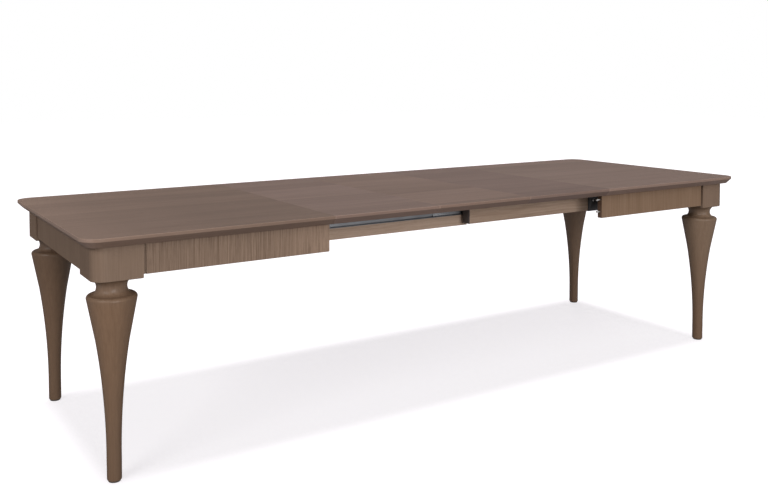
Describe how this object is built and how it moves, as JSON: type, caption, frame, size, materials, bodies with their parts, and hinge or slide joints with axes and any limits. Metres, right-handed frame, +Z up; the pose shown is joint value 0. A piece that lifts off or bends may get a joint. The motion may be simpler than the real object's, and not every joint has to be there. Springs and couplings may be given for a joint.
{
  "type": "extending dining table",
  "caption": "Extending dining table with turned tapering legs: half tops on telescopic slides, drawn apart with loose leaves laid between them.",
  "frame": {"origin": "on the floor under the middle of the drawn-out table", "axes": "+X along the length towards the half that draws out, -Y towards the front, +Z up"},
  "size_m": [2.9416, 1, 0.76],
  "materials": {
    "stained_top": "satin taupe stain",
    "stained_frame": "satin taupe-brown stain",
    "beam_wood": "clear satin",
    "dowel_wood": "plain",
    "guide_steel": "zinc plated",
    "plated_steel": "bright plated",
    "black_steel": "satin black",
    "black_plastic": "matt black",
    "glide_nylon": "matt dark brown"
  },
  "bodies": {
    "left_half": {"left_top": "stained_top", "left_end_apron": "stained_frame", "left_front_apron": "stained_frame", "left_rear_apron": "stained_frame", "left_front_post": "stained_frame", "left_rear_post": "stained_frame", "left_front_leg": "stained_frame", "left_rear_leg": "stained_frame", "left_front_beam": "beam_wood", "left_rear_beam": "beam_wood", "left_seam_spreader": "beam_wood", "left_end_spreader": "beam_wood", "left_apron_dowels": "dowel_wood", "left_front_runner": "guide_steel", "left_rear_runner": "guide_steel", "left_brackets": "plated_steel", "left_bracket_screws": "plated_steel", "left_runner_screws": "plated_steel", "left_leg_studs": "plated_steel", "left_foot_glides": "glide_nylon"},
    "right_half": {"right_top": "stained_top", "right_end_apron": "stained_frame", "right_front_apron": "stained_frame", "right_rear_apron": "stained_frame", "right_front_post": "stained_frame", "right_rear_post": "stained_frame", "right_front_leg": "stained_frame", "right_rear_leg": "stained_frame", "right_front_beam": "beam_wood", "right_rear_beam": "beam_wood", "right_apron_dowels": "dowel_wood", "right_front_slider": "guide_steel", "right_rear_slider": "guide_steel", "right_brackets": "plated_steel", "right_bracket_screws": "plated_steel", "right_slider_screws": "plated_steel", "right_leg_studs": "plated_steel", "right_top_pins": "plated_steel", "right_apron_pins": "plated_steel", "right_front_hanger": "black_steel", "right_rear_hanger": "black_steel", "right_front_beam_cap": "black_plastic", "right_rear_beam_cap": "black_plastic", "right_foot_glides": "glide_nylon"},
    "front_guide": {"guide_front": "guide_steel"},
    "rear_guide": {"guide_rear": "guide_steel"},
    "left_leaf": {"leaf_left": "stained_top", "leaf_left_pins": "plated_steel"},
    "middle_leaf": {"leaf_middle": "stained_top", "leaf_middle_pins": "plated_steel"},
    "right_leaf": {"leaf_right": "stained_top", "leaf_right_pins": "plated_steel"}
  },
  "joints": [
    {"name": "extension", "type": "slide", "parent": "left_half", "child": "right_half", "axis": [1, 0, 0], "range_m": [-1.2912, 0]},
    {"name": "front_guide_travel", "type": "slide", "parent": "left_half", "child": "front_guide", "axis": [1, 0, 0], "range_m": [-0.6456, 0]},
    {"name": "rear_guide_travel", "type": "slide", "parent": "left_half", "child": "rear_guide", "axis": [1, 0, 0], "range_m": [-0.6456, 0]},
    {"name": "left_leaf_lift", "type": "slide", "parent": "left_half", "child": "left_leaf", "axis": [0, 0, 1], "range_m": [0, 0.3228]},
    {"name": "middle_leaf_lift", "type": "slide", "parent": "left_half", "child": "middle_leaf", "axis": [0, 0, 1], "range_m": [0, 0.3228]},
    {"name": "right_leaf_lift", "type": "slide", "parent": "left_half", "child": "right_leaf", "axis": [0, 0, 1], "range_m": [0, 0.3228]}
  ],
  "couplings": [
    {"joint": "front_guide_travel", "follows": "extension", "ratio": 0.5},
    {"joint": "rear_guide_travel", "follows": "extension", "ratio": 0.5},
    {"joint": "left_leaf_lift", "follows": "extension", "ratio": -0.25},
    {"joint": "middle_leaf_lift", "follows": "extension", "ratio": -0.25},
    {"joint": "right_leaf_lift", "follows": "extension", "ratio": -0.25}
  ]
}
